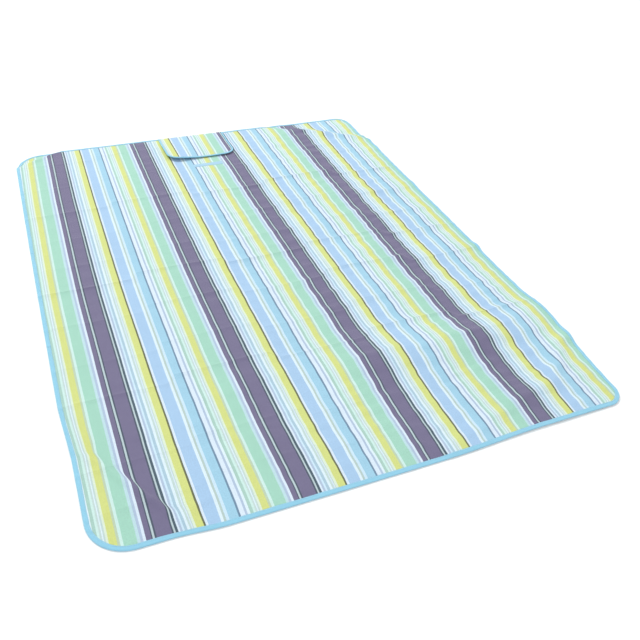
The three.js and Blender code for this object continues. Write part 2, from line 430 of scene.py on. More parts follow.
def shell(name, top, bottom, uvs, material, press=None):
    """A closed sheet between two grids of points with the same shape (rows, columns, 3)."""
    rows, columns = top.shape[:2]
    count = rows * columns
    points = np.concatenate([top.reshape(-1, 3), bottom.reshape(-1, 3)])
    index = np.arange(count).reshape(rows, columns)
    a, b = index[:-1, :-1].ravel(), index[:-1, 1:].ravel()
    c, d = index[1:, 1:].ravel(), index[1:, :-1].ravel()
    upper = np.stack([a, d, c, b], axis=1)
    lower = np.stack([a, b, c, d], axis=1) + count
    loop = np.concatenate([index[0, :-1], index[:-1, -1], index[-1, :0:-1], index[:0:-1, 0]])
    ahead = np.roll(loop, -1)
    rim = np.stack([loop, ahead, ahead + count, loop + count], axis=1)
    on_rim = np.zeros(2 * count, bool)
    on_rim[loop] = True
    on_rim[loop + count] = True
    upper_side = np.arange(2 * count) < count

    def sharp(ends):
        both = on_rim[ends[:, 0]] & on_rim[ends[:, 1]]
        return both & (upper_side[ends[:, 0]] == upper_side[ends[:, 1]])

    def both_sides(values):
        return None if values is None else np.tile(values.reshape(-1, 2), (2, 1))

    faces = [np.concatenate([upper, lower, rim])]
    return add_object(name, points, faces, both_sides(uvs), material, both_sides(press), sharp)


def swept(sections):
    """Points and faces of a closed tube whose cross sections have shape (stations, ring, 3)."""
    stations, ring = sections.shape[:2]
    index = np.arange(stations * ring).reshape(stations, ring)
    around = np.roll(index, -1, axis=1)
    sides = np.stack([index[:-1], around[:-1], around[1:], index[1:]], axis=-1).reshape(-1, 4)
    ends = np.stack([index[0][::-1], index[-1]])
    return sections.reshape(-1, 3), sides, ends


def tubes(name, parts, material):
    """One object from several swept tubes, given as (sections, uv of the same shape)."""
    points, sides, ends, uvs, start = [], [], [], [], 0
    for sections, uv in parts:
        tube_points, tube_sides, tube_ends = swept(sections)
        points.append(tube_points)
        uvs.append(uv.reshape(-1, 2))
        sides.append(tube_sides + start)
        ends.append(tube_ends + start)
        start += len(tube_points)
    faces = [np.concatenate(sides), np.concatenate(ends)]
    return add_object(name, np.concatenate(points), faces, np.concatenate(uvs), material)


# ---------------------------------------------------------------- materials


def srgb(red, green, blue):
    """A linear colour from 0 to 255 sRGB values."""
    out = []
    for value in (red, green, blue):
        c = value / 255.0
        out.append(c / 12.92 if c <= 0.04045 else ((c + 0.055) / 1.055) ** 2.4)
    return (*out, 1.0)


class Graph:
    """A short way to write a material's nodes: most methods add one and give back its output."""

    def __init__(self, name):
        self.material = bpy.data.materials.new(name)
        self.material.use_nodes = True
        self.tree = self.material.node_tree
        self.shader = self.tree.nodes["Principled BSDF"].inputs

    def feed(self, target, value):
        if isinstance(value, bpy.types.NodeSocket):
            self.tree.links.new(value, target)
        else:
            target.default_value = value

    def add(self, kind, output, inputs, **settings):
        made = self.tree.nodes.new(kind)
        for key, value in settings.items():
            setattr(made, key, value)
        for key, value in inputs.items():
            self.feed(made.inputs[key], value)
        return made.outputs[output]

    def math(self, operation, *values, clamp=False):
        inputs = dict(enumerate(values))
        return self.add("ShaderNodeMath", 0, inputs, operation=operation, use_clamp=clamp)

    def plus(self, a, b):
        return self.math("ADD", a, b)

    def minus(self, a, b):
        return self.math("SUBTRACT", a, b)

    def times(self, a, b):
        return self.math("MULTIPLY", a, b)

    def map(self, name):
        """A UV map, and its two coordinates."""
        uv = self.add("ShaderNodeUVMap", "UV", {}, uv_map=name)
        split = self.tree.nodes.new("ShaderNodeSeparateXYZ")
        self.feed(split.inputs[0], uv)
        return uv, split.outputs["X"], split.outputs["Y"]

    def crease_line(self):
        """Mask of the painted crease shade: 1 on the crest of a pressed cross crease, 0 away from it; 0 on
        cloth without a press map.
        """
        _, distance, strength = self.map("press")
        away = self.math("DIVIDE", distance, CREASE_SHADE_HALF_WIDTH)
        narrow = self.math("POWER", EULER, self.times(self.times(away, away), -1.0))
        return self.times(narrow, strength)

    def noise(self, vector, scale, detail=2.0, roughness=0.5):
        """Noise with a scale, or with one for each direction."""
        if isinstance(scale, tuple):
            vector = self.add("ShaderNodeMapping", "Vector", {"Scale": scale, "Vector": vector})
            scale = 1.0
        inputs = {"Scale": scale, "Detail": detail, "Roughness": roughness, "Vector": vector}
        return self.add("ShaderNodeTexNoise", "Fac", inputs)

    def wave(self, coordinate, period):
        """A sine from -1 to 1 along a coordinate."""
        return self.math("SINE", self.times(coordinate, 2.0 * math.pi / period))

    def bands(self, factor, stops):
        """Each stop's colour, from its place to the next one's."""
        made = self.tree.nodes.new("ShaderNodeValToRGB")
        made.color_ramp.interpolation = "CONSTANT"
        elements = made.color_ramp.elements
        elements.remove(elements[-1])
        elements[0].position, elements[0].color = stops[0]
        for position, colour in stops[1:]:
            elements.new(position).color = colour
        self.feed(made.inputs["Fac"], factor)
        return made.outputs["Color"]

    def mix(self, factor, a, b, blend="MIX"):
        return self.add("ShaderNodeMix", 2, {0: factor, 6: a, 7: b}, data_type="RGBA", blend_type=blend)

    def range(self, value, low, high):
        """0 to 1 carried to low to high."""
        return self.add("ShaderNodeMapRange", "Result", {"Value": value, "To Min": low, "To Max": high})

    def bump(self, height, distance, strength, below=None):
        inputs = {"Strength": strength, "Distance": distance, "Height": height}
        if below is not None:
            inputs["Normal"] = below
        return self.add("ShaderNodeBump", "Normal", inputs)

    def finish(self, colour, tone, roughness, normal, constants):
        """Sets the shader's inputs, with the base colour the colour times a grey tone."""
        grey = self.add("ShaderNodeCombineColor", 0, {0: tone, 1: tone, 2: tone})
        tinted = self.mix(1.0, colour, grey, "MULTIPLY")
        inputs = {"Base Color": tinted, "Roughness": roughness, "Normal": normal, **constants}
        for name, value in inputs.items():
            self.feed(self.shader[name], value)
        return self.material


def cloth(sheen, specular):
    """The shader's constants for a textile."""
    return {"Sheen Weight": sheen, "Sheen Roughness": 0.5, "Specular IOR Level": specular}


PLUM = srgb(119, 114, 145)
TEAL = srgb(82, 93, 110)
MIST = srgb(188, 207, 212)
INK = srgb(78, 98, 110)
PEARL = srgb(219, 235, 249)
LAVENDER = srgb(178, 198, 222)
ICE = srgb(205, 232, 248)
AQUA = srgb(172, 203, 220)
WHITE = srgb(222, 241, 249)
SAGE = srgb(196, 219, 216)
CREAM = srgb(222, 238, 218)
YELLOW = srgb(213, 222, 136)
OLIVE = srgb(106, 112, 84)
PERIWINKLE = srgb(170, 204, 236)
GREY_SAGE = srgb(184, 206, 203)
SKY = srgb(163, 209, 232)
SLATE = srgb(114, 144, 170)
DUSK = srgb(190, 210, 184)
MINT_WHITE = srgb(207, 238, 232)
GREEN_SAGE = srgb(172, 209, 198)
MINT = srgb(166, 216, 197)
PALE_BLUE = srgb(192, 224, 232)

# The two halves of the woven pattern's repeat, from the left edge of a plum stripe, as (width in mm, colour).
STRIPES_FIRST = (
    (11.0, PLUM), (3.2, TEAL), (4.8, MIST), (3.6, TEAL), (34.4, PLUM), (4.2, TEAL),
    (4.4, MIST), (5.8, INK), (5.0, PEARL), (5.0, LAVENDER), (5.0, ICE), (7.2, AQUA), (6.2, WHITE),
    (5.0, SAGE), (2.2, PEARL), (3.0, SAGE), (5.0, CREAM), (18.6, YELLOW), (4.6, OLIVE),
    (6.2, PEARL), (30.6, PERIWINKLE),
)
STRIPES_SECOND = (
    (6.6, WHITE), (5.4, GREY_SAGE), (6.6, ICE), (22.0, SKY), (5.0, SLATE), (10.6, PEARL),
    (5.4, LAVENDER), (6.2, WHITE), (7.4, GREEN_SAGE), (5.6, MINT_WHITE), (4.4, SAGE), (2.4, WHITE),
    (4.6, SAGE), (4.8, CREAM), (16.6, YELLOW), (6.0, DUSK), (6.4, MINT_WHITE), (29.6, MINT),
    (6.6, PALE_BLUE), (6.0, LAVENDER), (6.8, PEARL),
)
HALF_REPEAT = sum(width for width, _ in STRIPES_FIRST) * MM
REPEAT = HALF_REPEAT + sum(width for width, _ in STRIPES_SECOND) * MM
FIRST_PLUM = 0.068
FLAP_PATTERN_SHIFT = 0.027
# Whole repeats added so that the share of a repeat is worked out on a positive number.
REPEATS_ADDED = 40.0
YARN = 1.3 * MM
FINE_YARN = 0.9 * MM
# Half width of the painted shade line along a pressed crease.
CREASE_SHADE_HALF_WIDTH = 1.4 * MM
EULER = 2.718


def stops_of(stripes):
    """Each stripe's place, as a share of their whole width, and its colour."""
    total = sum(width for width, _ in stripes)
    at, stops = 0.0, []
    for width, colour in stripes:
        stops.append((at / total, colour))
        at += width
    return stops


def striped_cloth(name, shift=0.0):
    """Woven stripes along Y, with yarns, slubs, faint fading, painted shade along the pressed creases and a
    soft sheen.
    """
    g = Graph(name)
    uv, u, v = g.map("flat")
    # Yarn ends stray a little, so no stripe has a ruled edge.
    stray = g.noise(uv, (260.0, 9.0, 1.0), 3.0, 0.6)
    across = g.plus(u, g.times(g.minus(stray, 0.5), 1.1 * MM))
    turn = g.math("DIVIDE", g.minus(across, FIRST_PLUM + shift), REPEAT)
    share = g.math("FRACT", g.plus(turn, REPEATS_ADDED))
    split = HALF_REPEAT / REPEAT
    first = g.bands(g.math("DIVIDE", share, split), stops_of(STRIPES_FIRST))
    second = g.bands(g.math("DIVIDE", g.minus(share, split), 1.0 - split), stops_of(STRIPES_SECOND))
    colour = g.mix(g.math("GREATER_THAN", share, split), first, second)

    weave = g.times(g.wave(u, YARN), g.wave(v, YARN))
    slub = g.noise(uv, (900.0, 45.0, 1.0))
    pick = g.noise(uv, (60.0, 800.0, 1.0))
    fade = g.noise(uv, 5.0, 3.0, 0.55)
    heather = g.noise(uv, (330.0, 260.0, 1.0), 2.0, 0.6)
    slub_tone = g.range(g.plus(g.times(slub, 0.6), g.times(pick, 0.4)), 0.93, 1.07)
    fade_tone = g.times(g.range(fade, 0.965, 1.035), g.range(heather, 0.84, 1.16))
    tone = g.times(g.times(g.range(weave, 0.955, 1.0), slub_tone), fade_tone)
    # Painted shade: a fine darker line is painted into the colour along each pressed cross crease, where the
    # crease's shadow falls, broken up in places by noise.
    patchy = g.range(g.noise(uv, (34.0, 8.0, 1.0), 2.0, 0.6), -0.35, 1.15)
    line = g.math("MULTIPLY", g.crease_line(), patchy, clamp=True)
    tone = g.times(tone, g.minus(1.0, g.times(line, 0.26)))

    fuzz = g.noise(uv, 420.0, 3.0, 0.7)
    pucker = g.noise(uv, 38.0, 3.0, 0.55)
    soft = g.bump(g.minus(pucker, g.times(line, 0.35)), 1.1 * MM, 0.55)
    yarns = g.bump(g.plus(weave, g.times(fuzz, 1.2)), 0.16 * MM, 0.8, soft)
    return g.finish(colour, tone, g.range(fuzz, 0.78, 0.95), yarns, cloth(0.22, 0.2))


def ribbed_tape(name, colour):
    """Woven tape: ribs across its width, selvedges along it, and a dusting of wear on the ribs."""
    g = Graph(name)
    uv, along, across = g.map("flat")
    rib = g.wave(along, 1.6 * MM)
    selvedge = g.wave(across, FINE_YARN)
    blotch = g.noise(uv, 18.0, 3.0, 0.6)
    fibre = g.noise(uv, 700.0, 2.0, 0.6)
    worn = g.times(g.range(rib, 0.90, 1.02), g.range(blotch, 0.94, 1.06))
    tone = g.times(worn, g.range(fibre, 0.96, 1.04))
    pucker = g.bump(g.noise(uv, 90.0), 0.5 * MM, 0.5)
    ribs = g.bump(g.plus(g.times(rib, 0.7), g.times(selvedge, 0.3)), 0.18 * MM, 0.9, pucker)
    return g.finish(colour, tone, g.range(fibre, 0.72, 0.92), ribs, cloth(0.25, 0.3))


def plain_weave(name, colour):
    """Light plain-woven lining."""
    g = Graph(name)
    uv, u, v = g.map("flat")
    weave = g.times(g.wave(u, FINE_YARN), g.wave(v, FINE_YARN))
    blotch = g.noise(uv, 14.0, 3.0, 0.6)
    tone = g.times(g.range(weave, 0.94, 1.02), g.range(blotch, 0.95, 1.05))
    pucker = g.bump(g.noise(uv, 45.0, 3.0, 0.6), 0.9 * MM, 0.6)
    yarns = g.bump(weave, 0.12 * MM, 0.8, pucker)
    return g.finish(colour, tone, g.range(blotch, 0.75, 0.9), yarns, cloth(0.2, 0.25))


def silver_film(name, colour):
    """Waterproof film, embossed with a fine diamond grid, scuffed where it rubs the ground."""
    g = Graph(name)
    uv, u, v = g.map("flat")
    pitch = 7.0 * MM
    one = g.wave(g.plus(u, v), pitch)
    other = g.wave(g.minus(u, v), pitch)
    grid = g.math("MAXIMUM", g.math("ABSOLUTE", one), g.math("ABSOLUTE", other))
    scuff = g.noise(uv, 9.0, 6.0, 0.7)
    tone = g.times(g.range(grid, 1.03, 0.93), g.range(scuff, 0.86, 1.08))
    crinkle = g.bump(g.noise(uv, 60.0, 4.0, 0.6), 0.8 * MM, 0.5)
    embossed = g.bump(grid, 0.35 * MM, 0.7, crinkle)
    return g.finish(colour, tone, g.range(scuff, 0.28, 0.58), embossed, {"Metallic": 0.55})


def closed_cell_foam(name, colour):
    """Closed-cell foam: small rounded cells, matt."""
    g = Graph(name)
    uv, _, _ = g.map("flat")
    cells = g.add("ShaderNodeTexVoronoi", "Distance", {"Scale": 550.0, "Vector": uv})
    tone = g.range(cells, 1.02, 0.90)
    return g.finish(colour, tone, g.range(cells, 0.85, 0.98), g.bump(cells, 0.3 * MM, 0.7), {})


def sewing_thread(name, colour):
    """Sewing thread with a two-ply twist."""
    g = Graph(name)
    _, u, v = g.map("flat")
    twist = g.wave(g.plus(u, g.times(v, 0.5)), 0.5 * MM)
    tone = g.range(twist, 0.88, 1.04)
    plies = g.bump(twist, 0.1 * MM, 0.8)
    return g.finish(colour, tone, g.range(twist, 0.5, 0.68), plies, cloth(0.2, 0.4))


def fuzzy_tape(name, colour):
    """The loop or hook side of a touch fastener: a dense brush of fine fibres."""
    g = Graph(name)
    uv, _, _ = g.map("flat")
    tufts = g.noise(uv, 900.0, 4.0, 0.7)
    clumps = g.noise(uv, 160.0, 3.0, 0.6)
    tone = g.times(g.range(tufts, 0.80, 1.12), g.range(clumps, 0.90, 1.08))
    brush = g.bump(tufts, 0.5 * MM, 0.9, g.bump(clumps, 0.9 * MM, 0.7))
    return g.finish(colour, tone, g.range(tufts, 0.85, 1.0), brush, cloth(0.45, 0.15))


COVER_CLOTH = striped_cloth("striped_cloth")
FLAP_CLOTH = striped_cloth("flap_striped_cloth", FLAP_PATTERN_SHIFT)
BINDING_TAPE = ribbed_tape("binding_tape", srgb(150, 212, 238))
LINING_CLOTH = plain_weave("flap_lining_cloth", srgb(160, 214, 238))
BACKING_FILM = silver_film("backing_film", srgb(196, 201, 206))
FOAM = closed_cell_foam("foam", srgb(244, 243, 238))
THREAD = sewing_thread("sewing_thread", srgb(196, 232, 246))
CLOSURE = fuzzy_tape("closure_tape", srgb(166, 208, 232))

# ---------------------------------------------------------------- the layers of the mat

# Each section spans one fold and lists the bodies on its two sides. For the folds that close striped side in,
# the near body comes first and the reach is negative, because a half turn has no sign of its own and would be
# taken about +X.
Section = namedtuple("Section", "name high low bodies fold reach nodes")
SECTIONS = (
    Section("far", HALF_LENGTH, CUT_FAR, ("mid_far_panel", "far_panel"), FOLD_FAR, -ROLL_REACH, ("far",)),
    Section("middle", CUT_FAR, CUT_NEAR, ("mid_far_panel", "mid_near_panel"), FOLD_MID, TIGHT_REACH,
            ("mid_far", "mid_near")),
    Section("near", CUT_NEAR, -HALF_LENGTH, ("near_panel", "mid_near_panel"), FOLD_NEAR, -ROLL_REACH,
            ("near",)),
)
ARC_STEPS = 13
# The gap under the cover, the foam's underside at the edge and how much lower it is inside, how far the film
# rises at the edge to leave room for the tape, and how thick it is.
COVER_TO_FOAM = 0.5 * MM
FOAM_EDGE_LOW = 1.4 * MM
FOAM_SINK = 0.4 * MM
FILM_EDGE_RISE = 0.75 * MM
FILM_THICKNESS = 0.4 * MM
# A cross crease this tall is pressed to full strength.
FULL_PRESS = 5.0 * MM


def bend(obj):
    """Bakes a piece's placement into its mesh."""
    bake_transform(obj)


def quarter_rows(end, radius):
    """How far along the rows round a corner lie, from where it starts to its end."""
    return end - radius + radius * np.sin(np.linspace(0.0, 0.5 * math.pi, ARC_STEPS))


def row_places(high, low, inset):
    """Rows of a section's grid: even, closer over the tight fold and round the corners."""
    rows = set(np.round(np.linspace(low, high, 1 + round((high - low) / GRID_ROW)), 6))
    if low < FOLD_MID < high:
        count = round(4 * TIGHT_REACH / FOLD_ROW)
        rows |= set(np.round(FOLD_MID + np.linspace(-2, 2, count + 1) * TIGHT_REACH, 6))
    end = HALF_LENGTH - inset
    for corner in (CORNER_LEFT, CORNER_RIGHT):
        arc = quarter_rows(end, corner - inset)
        rows |= set(np.round(arc, 6)) | set(np.round(-arc, 6))
    rows = np.array(sorted((r for r in rows if low <= r <= high and abs(r) <= end), reverse=True))
    closest = 0.45 * FOLD_ROW
    keep = [rows[0]]
    for r in rows[1:-1]:
        if keep[-1] - r > closest and r - rows[-1] > closest:
            keep.append(r)
    keep.append(rows[-1])
    return np.array(keep)


def side_reach(q, corner, inset):
    """Half width of the mat on one side at each row, less the inset."""
    radius = corner - inset
    over = np.clip(np.abs(q) - (HALF_LENGTH - corner), 0.0, radius)
    return HALF_WIDTH - corner + np.sqrt(np.maximum(radius**2 - over**2, 0.0))


def section_grid(section, inset):
    """Flat coordinates of a section's grid, rows from far to near and columns from left to right."""
    high = min(section.high, HALF_LENGTH - inset)
    low = max(section.low, inset - HALF_LENGTH)
    q = row_places(high, low, inset)
    left = side_reach(q, CORNER_LEFT, inset)
    right = side_reach(q, CORNER_RIGHT, inset)
    share = np.linspace(0.0, 1.0, 1 + round(2 * HALF_WIDTH / GRID_COLUMN))
    p = -left[:, None] + (left + right)[:, None] * share[None, :]
    return p, np.repeat(q[:, None], len(share), axis=1)


def press_map(p, q):
    """Signed distance to the nearest cross crease, and how hard it is pressed, from 0 to 1."""
    x, y = place(p, q)
    line = crease_line(x, y)
    nearest = np.full_like(x, 1.0)
    strength = np.zeros_like(x)
    for place_y, tall in crease_heights(x):
        away = line - place_y
        closer = np.abs(away) < np.abs(nearest)
        nearest = np.where(closer, away, nearest)
        strength = np.where(closer, np.clip(tall / FULL_PRESS, 0.0, 1.0), strength)
    return np.stack([nearest, strength], axis=-1)


def stand_for(obj, section, part):
    """Puts a section's layer in the place of the CAD nodes of the same part."""
    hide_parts(*[part + "_" + node for node in section.nodes])
    return obj


def build_cover(section):
    p, q = section_grid(section, EDGE_INSET)
    face = stack(edge_distance(p, q))
    top, bottom = lay(p, q, face), lay(p, q, face - COVER_THICKNESS)
    flat = np.stack([p - stripe_drift(p, q), q], axis=-1)
    obj = shell("cover_" + section.name + "_cloth", top, bottom, flat, COVER_CLOTH, press_map(p, q))
    return stand_for(obj, section, "cover")


def build_core(section):
    p, q = section_grid(section, 2 * EDGE_INSET)
    edge = edge_distance(p, q)
    face = stack(edge) - COVER_THICKNESS - COVER_TO_FOAM
    low = FOAM_EDGE_LOW - FOAM_SINK * smooth((edge - TAPE_WIDTH) / PUFF_WIDTH)
    top, bottom = lay(p, q, face), lay(p, q, low)
    obj = shell("core_" + section.name + "_foam", top, bottom, np.stack([p, q], -1), FOAM)
    return stand_for(obj, section, "core")


def build_backing(section):
    p, q = section_grid(section, EDGE_INSET)
    past_tape = smooth((edge_distance(p, q) - TAPE_WIDTH) / (0.5 * TAPE_WIDTH))
    rise = FILM_EDGE_RISE * (1.0 - past_tape)
    top, bottom = lay(p, q, rise + FILM_THICKNESS), lay(p, q, rise)
    obj = shell("backing_" + section.name + "_film", top, bottom, np.stack([p, q], -1), BACKING_FILM)
    return stand_for(obj, section, "backing")


# ---------------------------------------------------------------- binding and its stitches

OUTLINE_STEP = 5.0 * MM
# Clearance under folded tape, how far its upper face crowns, and the smallest step counted round its section.
TAPE_GAP = 0.15 * MM
TAPE_CROWN = 0.25 * MM
LEAST_TRAVEL = 0.3 * MM
# Places across the tape, as shares of its width, where its section has points.
TAPE_SHARES = (0.75, 0.5, 0.28, 0.12)


def along_run(points, inward):
    """A run of tape: its flat points, the directions inward from them and the distance along it."""
    gaps = np.hypot(*np.diff(points, axis=0).T)
    return points, inward, np.concatenate([[0.0], np.cumsum(gaps)])


def outline_runs(section):
    """The section's stretches of the mat's outline."""

    def straight(ax, ay, bx, by, nx, ny):
        count = max(2, 1 + round(math.hypot(bx - ax, by - ay) / OUTLINE_STEP))
        t = np.linspace(0.0, 1.0, count)[:, None]
        points = np.array([[ax, ay]]) + t * np.array([[bx - ax, by - ay]])
        return points, np.repeat([[nx, ny]], count, axis=0)

    def arc(side, end, radius, turn_from, turn_to):
        count = max(6, 1 + round(radius * abs(turn_to - turn_from) / (0.7 * OUTLINE_STEP)))
        turn = np.linspace(turn_from, turn_to, count)
        centre = np.array([side * (HALF_WIDTH - radius), end * (HALF_LENGTH - radius)])
        out = np.stack([np.cos(turn), np.sin(turn)], axis=1)
        return centre + radius * out, -out

    def side_strip(side, top, bottom):
        return straight(side * HALF_WIDTH, top, side * HALF_WIDTH, bottom, -side, 0.0)

    if section.name == "middle":
        chains = [[side_strip(side, section.high, section.low)] for side in (-1, 1)]
    else:
        end, cut = (1, section.low) if section.name == "far" else (-1, section.high)
        quarter = 0.5 * math.pi
        end_left = (CORNER_LEFT - HALF_WIDTH, end * HALF_LENGTH)
        end_right = (HALF_WIDTH - CORNER_RIGHT, end * HALF_LENGTH)
        chains = [[
            side_strip(-1, cut, end * (HALF_LENGTH - CORNER_LEFT)),
            arc(-1, end, CORNER_LEFT, math.pi, math.pi - end * quarter),
            straight(*end_left, *end_right, 0.0, -end),
            arc(1, end, CORNER_RIGHT, end * quarter, 0.0),
            side_strip(1, end * (HALF_LENGTH - CORNER_RIGHT), cut),
        ]]
    runs = []
    for chain in chains:
        points, inward = (
            np.concatenate([strip[k][(1 if i else 0):] for i, strip in enumerate(chain)])
            for k in range(2)
        )
        runs.append(along_run(points, inward))
    return runs


def tape_profile(width):
    """Closed cross section of folded tape, as (distance in, share of the stack, height) for each point.

    The share says how much of the cover's height a point rides on; the height is added to that.
    """
    t = TAPE_THICKNESS
    face = TAPE_GAP + t
    outer = [(width, 1, TAPE_GAP + 0.3 * t), (width - 0.4 * MM, 1, face)]
    outer += [(width * s, 1, face + TAPE_CROWN * math.sin(math.pi * s)) for s in TAPE_SHARES]
    bulge = []
    for a in np.radians((60, 30, 0, -30, -60)):
        bulge.append((1.0 * MM - 1.3 * MM * math.cos(a), 0.5 + 0.5 * math.sin(a), face * math.sin(a) * 0.5))
    under = [(width * s, 0, 0.0) for s in (*TAPE_SHARES[::-1], 1.0)]
    inner_low = [(width, 0, t), (width * 0.5, 0, t), (width * 0.15, 0, t)]
    fold = [(0.6 * MM, 0.35, 0.1 * MM), (0.6 * MM, 0.65, -0.1 * MM)]
    inner_high = [(width * 0.15, 1, TAPE_GAP), (width * 0.5, 1, TAPE_GAP), (width - 0.2 * MM, 1, TAPE_GAP)]
    return outer + bulge + under + inner_low + fold + inner_high


def travel_round(profile):
    """Distance round a cross section to each of its points."""
    travel = [0.0]
    for before, after in zip(profile[:-1], profile[1:]):
        travel.append(travel[-1] + max(abs(after[0] - before[0]), LEAST_TRAVEL))
    return travel


def tape_tube(run, width, profile, travel, wobble, surface):
    """Cross sections of tape along a run, whose inner edge wobbles, and their flat coordinates."""
    points, inward, along = run
    sections = np.zeros((len(points), len(profile), 3))
    uv = np.zeros((len(points), len(profile), 2))
    for k, (distance, share, height) in enumerate(profile):
        reach = distance + (wobble if distance > 0.5 * width else 0.0)
        flat = points + inward * np.reshape(reach, (-1, 1))
        sections[:, k] = surface(flat[:, 0], flat[:, 1], distance, share, height)
        uv[:, k, 0] = along
        uv[:, k, 1] = travel[k]
    return sections, uv


def edge_wobble(along, size, seed, count, shortest, longest):
    """How far the inner edge of tape strays from its line."""
    return size * ripples(along, along * 0.0, seed, count, shortest, longest, math.pi / 2, 0.0)


def mat_tape_point(p, q, distance, share, height):
    return lay(p, q, share * stack(np.maximum(edge_distance(p, q), 0.0)) + height)


def build_binding(section):
    profile = tape_profile(TAPE_WIDTH)
    travel = travel_round(profile)
    parts = []
    for number, run in enumerate(outline_runs(section)):
        wobble = edge_wobble(run[2], 0.5 * MM, 31 + number, 14, 0.03, 0.18)
        parts.append(tape_tube(run, TAPE_WIDTH, profile, travel, wobble, mat_tape_point))
    obj = tubes("binding_" + section.name + "_tape", parts, BINDING_TAPE)
    sides = ("_left", "_right") if section.name == "middle" else ("",)
    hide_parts(*["binding_" + node + side for node in section.nodes for side in sides])
    return obj


STITCH_PITCH = 4.2 * MM
STITCH_LENGTH = 3.3 * MM
THREAD_RADIUS = 0.34 * MM
THREAD_SIDES = 5
# A stitch's cross sections: share of its length, share of its radius, and lift in radii.
STITCH_STATIONS = ((0.0, 0.45, -0.55), (0.16, 0.95, 0.0), (0.84, 0.95, 0.0), (1.0, 0.45, -0.55))
SEAM_INSET = 2.6 * MM
MAT_THREAD_LIFT = 0.40 * MM
THREAD_SINK = 0.18 * MM


def capsules(start, end, up):
    """Many stitches at once, each a short rod that dips at both ends."""
    axis = end - start
    size = np.linalg.norm(axis, axis=1, keepdims=True)
    axis = axis / size
    side = np.cross(axis, up)
    side /= np.linalg.norm(side, axis=1, keepdims=True)
    over = np.cross(side, axis)
    rings = []
    for share, thick, lift in STITCH_STATIONS:
        centre = start + axis * size * share + up * THREAD_RADIUS * lift
        for k in range(THREAD_SIDES):
            turn = 2.0 * math.pi * k / THREAD_SIDES
            rings.append(centre + THREAD_RADIUS * thick * (math.cos(turn) * side + math.sin(turn) * over))
    return np.stack(rings, axis=1)


def stitch_mesh(name, starts, ends, ups):
    """All the stitches of a seam as one mesh."""
    sections = capsules(starts, ends, ups)
    count, ring = sections.shape[:2]
    _, tube, caps = swept(sections[0].reshape(len(STITCH_STATIONS), THREAD_SIDES, 3))
    offsets = np.arange(count)[:, None, None] * ring
    faces = [(tube[None] + offsets).reshape(-1, 4), (caps[None] + offsets).reshape(-1, caps.shape[1])]
    local = np.linspace(0.0, STITCH_LENGTH, ring)
    uvs = np.stack([np.tile(local, count), np.repeat(np.arange(count) * MM, ring)], axis=1)
    return add_object(name, sections.reshape(-1, 3), faces, uvs, THREAD)


def resample(run, step):
    """Evenly spaced points and inward directions along a run."""
    points, inward, along = run
    at = np.arange(0.5 * step, along[-1], step)
    flat = np.stack([np.interp(at, along, points[:, k]) for k in range(2)], axis=1)
    turned = np.stack([np.interp(at, along, inward[:, k]) for k in range(2)], axis=1)
    return flat, turned / np.linalg.norm(turned, axis=1, keepdims=True)


def sew(name, runs, inset, thread_point, upward):
    """Lockstitch on both faces of runs of tape, this far in from the edge."""
    rows = []
    for run in runs:
        flat, turned = resample(run, STITCH_PITCH)
        tangent = np.stack([-turned[:, 1], turned[:, 0]], axis=1)
        seam = flat + turned * inset
        for face in (1, -1):
            ends = [seam + tangent * way for way in (-0.5 * STITCH_LENGTH, 0.5 * STITCH_LENGTH)]
            start, end = (thread_point(at[:, 0], at[:, 1], face) for at in ends)
            rows.append((start, end, upward(seam[:, 0], seam[:, 1], face)))
    obj = stitch_mesh(name, *[np.concatenate(column) for column in zip(*rows)])
    return obj


def mat_thread_point(p, q, face):
    on_top = stack(edge_distance(p, q)) + TAPE_THICKNESS + MAT_THREAD_LIFT
    return lay(p, q, (on_top if face > 0 else 0.0 * p) + face * THREAD_SINK)


def mat_upward(p, q, face):
    return np.repeat([[0.0, 0.0, float(face)]], len(p), axis=0)


def build_binding_stitches(section):
    name = "binding_" + section.name + "_stitches"
    return sew(name, outline_runs(section), TAPE_WIDTH - SEAM_INSET, mat_thread_point, mat_upward)


for section in SECTIONS:
    cover = build_cover(section)
    core = build_core(section)
    backing = build_backing(section)
    binding = build_binding(section)
    stitches = build_binding_stitches(section)
    for piece in (cover, core, backing, binding, stitches):
        bend(piece)

# ---------------------------------------------------------------- the closing flap

FLAP_HALF_WIDTH = (FLAP_HIGH.x - FLAP_LOW.x) / 2
FLAP_CENTRE = (FLAP_HIGH.x + FLAP_LOW.x) / 2
FLAP_RUN = HINGE_Y - FLAP_LOW.y
FLAP_CORNER = 0.048
FLAP_TAPE_WIDTH = 0.0072
FLAP_BASE_Z = FULL_STACK + 2.6 * MM
# How far the flap's free end stands up on its left and on its right, and how much a wave across it lifts its
# corners and lowers its middle.
FLAP_LIFT_LEFT = 0.0138
FLAP_LIFT_RIGHT = 0.0025
FLAP_WAVE = 3.0 * MM
FLAP_EDGE_HALF = 0.85 * MM
FLAP_PUFF = 1.5 * MM
FLAP_PUFF_WIDTH = 0.028
FLAP_START = -0.002
FLAP_ROWS = 60
FLAP_COLUMNS = 73
FLAP_TAPE_GAP = 0.12 * MM
FLAP_OUTLINE_STEP = 4.0 * MM
FLAP_SEAM_INSET = 2.2 * MM
FLAP_THREAD_LIFT = 0.42 * MM
HEM_STATIONS = 97
HEM_SIDES = 14
HEM_END_GAP = 1.5 * MM
HEM_HALF_DEPTH = 3.2 * MM
HEM_CLEARANCE = 0.2 * MM
HEM_MAP_RADIUS = 3.0 * MM


